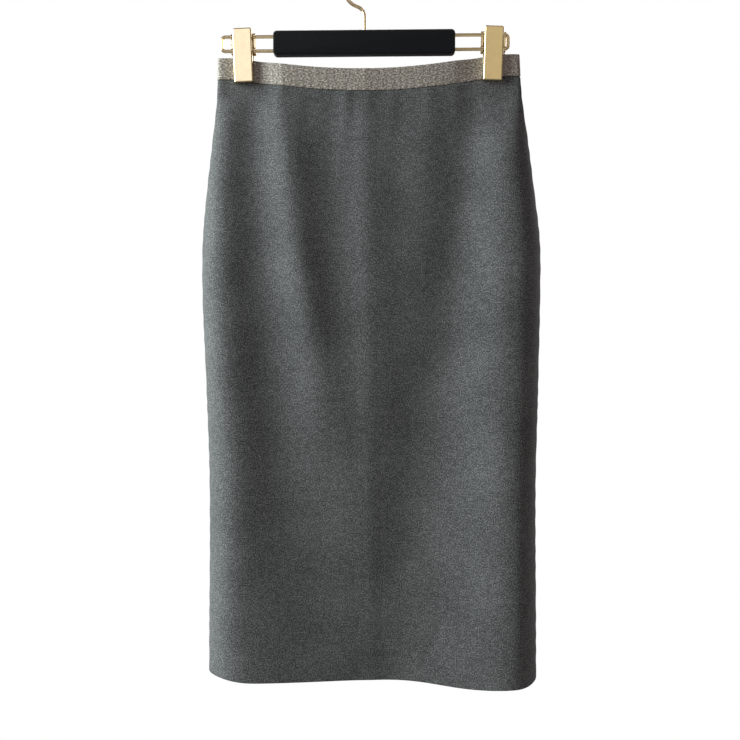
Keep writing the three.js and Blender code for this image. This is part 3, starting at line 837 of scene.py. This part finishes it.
def makeHook(h):
    # the small bend touches the large one from outside, which sets where the stem ends
    rise = math.sqrt(h["bend"] ** 2 + 2 * h["bend"] * h["stemBend"])
    stemTopZ = h["bendZ"] - rise
    turn = math.degrees(math.atan2(rise, h["stemBend"]))
    obj = startWire("hook_wire", (0, 0, h["stemLowZ"]), "z", h["wire"], h["sides"])
    drawStraight(0, 0, stemTopZ - h["stemLowZ"])
    drawBend((-h["stemBend"], 0, stemTopZ), -turn, h["stemSteps"])
    drawBend((0, 0, h["bendZ"]), 180 + turn - h["tip"], h["bendSteps"])
    tipTurn = math.radians(h["tip"])
    forward = (math.sin(tipTurn), 0, -math.cos(tipTurn))
    for length, shrink in h["tipSteps"]:
        drawStraight(*(c * length for c in forward))
        bpy.ops.transform.resize(value=(shrink, shrink, shrink))
    bpy.ops.mesh.edge_face_add()
    closeWire()
    smoothByAngle(obj)
    finishPiece(obj, "hook", gold)


makeHook(hook)
print("hook made")


# Sleeve: a foam block with rounded corners and a coat of short fibres

sleeve = {
    "length": 211.0, "depth": 13.4, "height": 28.2, "middleX": -0.5, "middleZ": -87.1,
    "corner": 4.4, "edge": 2.2,
    "fibres": 12000, "fibreLength": 0.55, "shortest": 0.6, "longest": 1.2,
    "fibreWidth": 0.14, "fibreLean": 0.35, "fibreRoot": 0.1, "seed": 7,
}


def addFibres(obj, s):
    # short spikes that stand on the block, each a closed pyramid of three sides
    random.seed(s["seed"])
    mesh = obj.data
    mesh.calc_loop_triangles()
    triangles = list(mesh.loop_triangles)
    weights = [t.area for t in triangles]
    points, faces = [], []
    for triangle in random.choices(triangles, weights, k=s["fibres"]):
        a, b, c = (mesh.vertices[i].co for i in triangle.vertices)
        u, v = random.random(), random.random()
        if u + v > 1:
            u, v = 1 - u, 1 - v
        root = a + (b - a) * u + (c - a) * v
        lean = Vector([random.gauss(0, s["fibreLean"]) for _ in range(3)])
        up = (triangle.normal + lean).normalized()
        side = up.orthogonal().normalized()
        other = up.cross(side)
        length = s["fibreLength"] * mm * random.uniform(s["shortest"], s["longest"])
        first = len(points)
        for k in range(3):
            angle = 2 * math.pi * k / 3
            spread = side * math.cos(angle) + other * math.sin(angle)
            points.append(root + spread * s["fibreWidth"] * mm / 2 - up * s["fibreRoot"] * mm)
        points.append(root + up * length)
        a, b, c, tip = range(first, first + 4)
        faces += [(a, b, tip), (b, c, tip), (c, a, tip), (a, c, b)]
    fuzz = bpy.data.meshes.new("fibres")
    fuzz.from_pydata(points, [], faces)
    piece = bpy.data.objects.new("fibres", fuzz)
    bpy.context.collection.objects.link(piece)
    return piece


def makeSleeve(s):
    low = (s["middleX"] - s["length"] / 2, -s["depth"] / 2, s["middleZ"] - s["height"] / 2)
    high = (s["middleX"] + s["length"] / 2, s["depth"] / 2, s["middleZ"] + s["height"] / 2)
    obj = addBlock("flocked_sleeve", low, high)
    pickEdges(obj, lambda a, b: abs(a.x - b.x) < same and abs(a.z - b.z) < same)
    bevelPicked(s["corner"], segments=6)
    face = s["depth"] / 2
    pickEdges(obj, lambda a, b: abs(abs(a.y) - face) < same and abs(a.y - b.y) < same)
    bevelPicked(s["edge"], segments=4)
    smoothByAngle(obj, 60)
    fuzz = addFibres(obj, s)
    whole = joinPieces([obj, fuzz], "flocked_sleeve")
    finishPiece(whole, "bar_sleeve", flock)


makeSleeve(sleeve)
print("sleeve made")


# Clips: a pressed front jaw, a rear jaw with eyes that slide on the rods, and the solid's pin

clip = {
    "lean": {"left": 2.2, "right": -2.2},  # in degrees, inwards at the top
    "width": 22.0, "topZ": -70.9, "bottomZ": -133.6, "jawY": 3.4, "boxDepth": 7.0, "sheet": 1.2,
    "sideRadius": 1.7, "cornerRadius": 2.6, "lipRadius": 1.0, "rim": 0.25,
    "earReach": 2.6, "earHeight": 7.8, "earRadius": 2.4, "earOverlap": 2.0, "pinZ": -86.8,
    "plateTopDrop": 4.0, "plateLowRise": 1.0, "plateRadius": 2.0,  # the rear plate is shorter
    "wingHalfHeight": 13.0, "wingOverlap": 1.0,
    "cheekX": 11.8, "cheekThickness": 2.3, "cheekHalfHeight": 6.3, "cheekFrontY": -1.2,
    "eyeRadius": 3.5, "eyeLength": 3.0, "eyeGap": 0.3, "tabHalfHeight": 2.0, "tabOverlap": 1.1,
    # joined parts end a little inside one another, so that no two faces lie in one plane
    "wingInset": 0.02, "cheekInset": 0.04, "earInset": 0.05, "tabInset": 0.1,
}


def makeFrontJaw(c, name):
    # a box open at the back: round corners at the top, then a round rim, then the lip below
    half = c["width"] / 2
    faceY = -(c["jawY"] + c["boxDepth"])
    obj = addBlock(name, (-half, faceY, c["bottomZ"]), (half, -c["jawY"], c["topZ"]))
    pickFaces(obj, lambda centre, normal: normal.y > 0.9)
    bpy.ops.mesh.delete(type="FACE")
    closeEdit()
    pickEdges(obj, lambda a, b: min(a.z, b.z) > c["topZ"] - same and abs(a.x - b.x) < same)
    bevelPicked(c["cornerRadius"], segments=4)
    pickEdges(obj, lambda a, b: max(a.y, b.y) < faceY + same and max(a.z, b.z) > c["bottomZ"] + same)
    bevelPicked(c["sideRadius"], segments=5)
    rimY = -c["jawY"] - same
    pickEdges(obj, lambda a, b: max(a.z, b.z) < c["bottomZ"] + same and max(a.y, b.y) < rimY)
    bevelPicked(c["lipRadius"], segments=3)
    applyModifier(obj, "SOLIDIFY", {
        "thickness": c["sheet"] * mm, "offset": -1, "use_even_offset": True})
    ears = []
    for x in (-half + c["earInset"], half - c["sheet"] - c["earInset"]):
        low = (x, -c["jawY"] - c["earOverlap"], c["pinZ"] - c["earHeight"] / 2)
        high = (x + c["sheet"], c["earReach"], c["pinZ"] + c["earHeight"] / 2)
        ear = addBlock("ear", low, high)
        pickEdges(ear, lambda a, b: abs(a.x - b.x) > same and a.y > 0)
        bevelPicked(c["earRadius"], segments=4)
        ears.append(ear)
    obj = joinPieces([obj, *ears], name)
    finishRims(obj, c["rim"])
    return obj


def addEye(c, x, z):
    # a short collar round a rod, with a bore that the rod runs through
    deselectAll()
    bpy.ops.mesh.primitive_cylinder_add(
        vertices=28, radius=c["eyeRadius"] * mm, depth=c["eyeLength"] * mm, end_fill_type="NGON",
        location=(x * mm, 0, z * mm), rotation=(0, math.pi / 2, 0))
    obj = bpy.context.object
    bpy.ops.object.transform_apply(location=True, rotation=True, scale=True)
    pickFaces(obj, lambda centre, normal: abs(normal.x) > 0.9)
    bpy.ops.mesh.inset(thickness=(c["eyeRadius"] - rails["wire"] - c["eyeGap"]) * mm)
    bpy.ops.mesh.bridge_edge_loops()
    closeEdit()
    return obj


def makeRearJaw(c, name):
    # a plate with a wing at each side, whose cheek and tabs carry the eyes round the rods
    half, backY = c["width"] / 2, c["jawY"] + c["sheet"]
    cheekEnd = c["cheekX"] + c["cheekThickness"]
    middleZ = (rails["upperZ"] + rails["lowerZ"]) / 2
    plate = addBlock(name, (-half, c["jawY"], c["bottomZ"] + c["plateLowRise"]),
                     (half, backY, c["topZ"] - c["plateTopDrop"]))
    pickEdges(plate, lambda a, b: abs(a.y - b.y) > same)
    bevelPicked(c["plateRadius"], segments=4)
    parts = [plate]
    for sign in (-1, 1):
        near, far = sorted((sign * (half - c["wingOverlap"]), sign * cheekEnd))
        low = (near, c["jawY"] + c["wingInset"], middleZ - c["wingHalfHeight"])
        high = (far, backY - c["wingInset"], middleZ + c["wingHalfHeight"])
        parts.append(addBlock("wing", low, high))
        near, far = sorted((sign * c["cheekX"], sign * cheekEnd))
        low = (near, c["cheekFrontY"], middleZ - c["cheekHalfHeight"])
        high = (far, backY - c["cheekInset"], middleZ + c["cheekHalfHeight"])
        parts.append(addBlock("cheek", low, high))
        for z in (rails["upperZ"], rails["lowerZ"]):
            parts.append(addEye(c, (near + far) / 2, z))
            low = (near + c["tabInset"], c["eyeRadius"] - c["tabOverlap"], z - c["tabHalfHeight"])
            high = (far - c["tabInset"], backY - c["tabInset"], z + c["tabHalfHeight"])
            parts.append(addBlock("tab", low, high))
    obj = joinPieces(parts, name)
    finishRims(obj, c["rim"])
    return obj


def leanPiece(obj, x, degrees):
    # turns a piece about the middle of the rods, then carries it out to its place
    middle = Vector((0, 0, (rails["upperZ"] + rails["lowerZ"]) / 2 * mm))
    turn = math.radians(-degrees)
    for vertex in obj.data.vertices:
        place = vertex.co - middle
        leaned = Vector((place.x * math.cos(turn) + place.z * math.sin(turn), place.y,
                         -place.x * math.sin(turn) + place.z * math.cos(turn)))
        vertex.co = leaned + middle + Vector((x * mm, 0, 0))
    obj.data.update()


for side, x in clipX.items():
    for part, make in (("front", makeFrontJaw), ("rear", makeRearJaw)):
        piece = make(clip, f"clip_jaw_{side}_{part}")
        leanPiece(piece, x, clip["lean"][side])
        finishPiece(piece, f"clip_{side}_{part}", gold)
    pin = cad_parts[f"clip_{side}_pin"]
    pin.data.materials.clear()
    pin.data.materials.append(gold)
print("clips made")


# Studio, in metres: a pale round floor whose rim fades out, a large window at the left, a small
# card before each clip, a light behind and a dim fill from all round

studio = {
    "floorZ": -1.95, "floorRadius": 2.05, "floorFade": 0.5, "floor": "#c6c6c4",
    "grainSize": 2.5, "grainBump": 0.05, "grainDepth": 0.5,  # the floor paint's, in millimetres
    "ambient": 0.24, "ambientColour": "#fff4f3", "backdrop": "#ffffff",
    "lights": table(
        "name x y z width height power colour aimX aimY aimZ",
        ("window", -2.2, -0.357, 0.405, 1.7, 2.3, 154, "#f2ffff", 0.0, 0.0, -0.46),
        ("cardLeft", -0.46, -2.0, 0.57, 0.6, 0.6, 1.65, "#e5ebff", -0.14, 0.0, -0.1),
        ("cardRight", 0.42, -2.0, 0.57, 0.5, 0.6, 0.44, "#f8f4cf", 0.15, 0.0, -0.1),
        ("behind", 0.9, 1.9, 0.5, 1.5, 1.5, 22, "#ffffff", 0.0, 0.0, -0.45),
    ),
}


def addLight(row):
    data = bpy.data.lights.new(row["name"], "AREA")
    data.shape, data.size, data.size_y = "RECTANGLE", row["width"], row["height"]
    data.energy, data.color = row["power"], linear(row["colour"])[:3]
    obj = bpy.data.objects.new(row["name"], data)
    bpy.context.collection.objects.link(obj)
    obj.location = (row["x"], row["y"], row["z"])
    aim = Vector((row["aimX"], row["aimY"], row["aimZ"])) - obj.location
    obj.rotation_euler = aim.to_track_quat("-Z", "Z").to_euler()
    obj.visible_camera = False


def makeStudio(s):
    deselectAll()
    bpy.ops.mesh.primitive_circle_add(vertices=96, radius=s["floorRadius"], fill_type="NGON",
                                      location=(0, 0, s["floorZ"]))
    floor = bpy.context.object
    floor.name = "floor"
    material, tree = newMaterial("matt floor paint")
    place = addNode(tree, "ShaderNodeTexCoord").outputs["Object"]
    grain = addNode(tree, "ShaderNodeTexNoise", inputs={
        "Vector": place, "Scale": noiseScale(s["grainSize"])})
    bump = addNode(tree, "ShaderNodeBump", inputs={
        "Height": grain.outputs["Fac"], "Strength": s["grainBump"],
        "Distance": s["grainDepth"] * mm})
    far = addNode(tree, "ShaderNodeVectorMath", {"operation": "LENGTH"}, {0: place})
    solid = addNode(tree, "ShaderNodeMapRange", {"interpolation_type": "SMOOTHSTEP"}, {
        "Value": far.outputs["Value"], "From Min": s["floorRadius"] - s["floorFade"],
        "From Max": s["floorRadius"], "To Min": 1.0, "To Max": 0.0})
    finishMaterial(tree, {
        "Base Color": linear(s["floor"]), "Roughness": 0.8, "Normal": bump.outputs["Normal"],
        "Alpha": solid.outputs["Result"]})
    floor.data.materials.append(material)
    for row in s["lights"]:
        addLight(row)
    world = bpy.data.worlds.new("studio")
    bpy.context.scene.world = world
    world.use_nodes = True
    tree = world.node_tree
    tree.nodes.clear()
    seen = addNode(tree, "ShaderNodeBackground", inputs={
        "Color": linear(s["backdrop"]), "Strength": 1.0})
    fill = addNode(tree, "ShaderNodeBackground", inputs={
        "Color": linear(s["ambientColour"]), "Strength": s["ambient"]})
    rays = addNode(tree, "ShaderNodeLightPath")
    both = addNode(tree, "ShaderNodeMixShader", inputs={
        "Fac": rays.outputs["Is Camera Ray"], 1: fill.outputs[0], 2: seen.outputs[0]})
    addNode(tree, "ShaderNodeOutputWorld", inputs={"Surface": both.outputs[0]})
    bpy.context.scene.view_settings.view_transform = "Standard"


makeStudio(studio)
print("studio lit")
